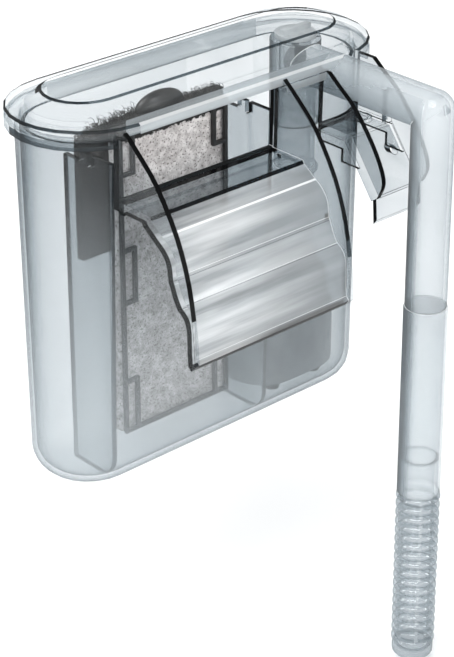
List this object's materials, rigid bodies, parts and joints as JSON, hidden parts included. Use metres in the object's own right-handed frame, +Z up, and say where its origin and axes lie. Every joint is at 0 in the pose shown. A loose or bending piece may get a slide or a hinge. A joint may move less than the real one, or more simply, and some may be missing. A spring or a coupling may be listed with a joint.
{
  "type": "hang on back aquarium filter",
  "caption": "Clear hang on back aquarium filter with a waterfall spillway, removable cartridge, telescoping intake tube and slotted strainer.",
  "frame": {"origin": "middle of the underside of the rib that sits on the aquarium's rim", "axes": "+Z up, +X along the aquarium's wall to the right seen from the water, -Y into the aquarium"},
  "size_m": [0.17, 0.1168, 0.2694],
  "materials": {
    "clear_plastic": "gloss",
    "clear_lid": "gloss",
    "clear_pipe": "gloss",
    "motor_plastic": "satin",
    "black_plastic": "satin",
    "white_floss": "matt fibre",
    "carbon_fibre_pad": "matt fibre",
    "rubber": "matt",
    "steel": "laminated",
    "copper": "enamelled wire",
    "ferrite": "sintered",
    "ceramic": "polished ceramic"
  },
  "bodies": {
    "tank": {"tank_body": "clear_plastic", "left_divider": "clear_plastic", "right_divider": "clear_plastic", "spillway_chute": "clear_plastic", "pipe_bracket": "clear_plastic", "down_pipe": "clear_pipe", "impeller_cover": "motor_plastic", "motor_housing": "motor_plastic", "motor_base": "motor_plastic", "stator_core": "steel", "coil": "copper", "impeller_shaft": "ceramic", "lower_bush": "rubber", "upper_bush": "rubber", "cord_gland": "rubber", "rubber_foot_1": "rubber", "rubber_foot_2": "rubber", "rubber_foot_3": "rubber", "rubber_foot_4": "rubber"},
    "lid": {"lid": "clear_lid"},
    "cartridge": {"cartridge_frame": "black_plastic", "floss_pad": "white_floss"},
    "carbon": {"carbon_block": "carbon_fibre_pad", "carbon_pull": "carbon_fibre_pad"},
    "intake": {"intake_elbow": "clear_pipe"},
    "regulator": {"flow_knob": "motor_plastic", "flow_gate": "motor_plastic"},
    "lower_tube": {"lower_intake_tube": "clear_pipe"},
    "strainer": {"strainer": "clear_pipe", "strainer_cap": "clear_pipe"},
    "rotor": {"rotor_magnet": "ferrite", "impeller": "motor_plastic"}
  },
  "joints": [
    {"name": "lid_lift", "type": "slide", "parent": "tank", "child": "lid", "axis": [0, 0, 1], "range_m": [0, 0.06]},
    {"name": "cartridge_lift", "type": "slide", "parent": "tank", "child": "cartridge", "axis": [0, 0, 1], "range_m": [0, 0.054]},
    {"name": "carbon_lift", "type": "slide", "parent": "tank", "child": "carbon", "axis": [0, 0, 1], "range_m": [0, 0.054]},
    {"name": "intake_lift", "type": "slide", "parent": "tank", "child": "intake", "axis": [0, 0, 1], "range_m": [0, 0.024]},
    {"name": "flow_turn", "type": "hinge", "parent": "intake", "child": "regulator", "pos_m": [0.0562, 0.03, 0.035], "axis": [0, 0, 1], "range_deg": [0, 90]},
    {"name": "tube_extend", "type": "slide", "parent": "intake", "child": "lower_tube", "axis": [0, 0, -1], "range_m": [0, 0.03]},
    {"name": "strainer_pull", "type": "slide", "parent": "lower_tube", "child": "strainer", "axis": [0, 0, -1], "range_m": [0, 0.014]},
    {"name": "rotor_spin", "type": "hinge", "parent": "tank", "child": "rotor", "pos_m": [0.0562, 0.03, -0.095], "axis": [0, 0, 1], "continuous": true}
  ],
  "couplings": [
    {"joint": "cartridge_lift", "follows": "lid_lift", "ratio": 0.9},
    {"joint": "carbon_lift", "follows": "lid_lift", "ratio": 0.9},
    {"joint": "intake_lift", "follows": "lid_lift", "ratio": 0.4}
  ]
}
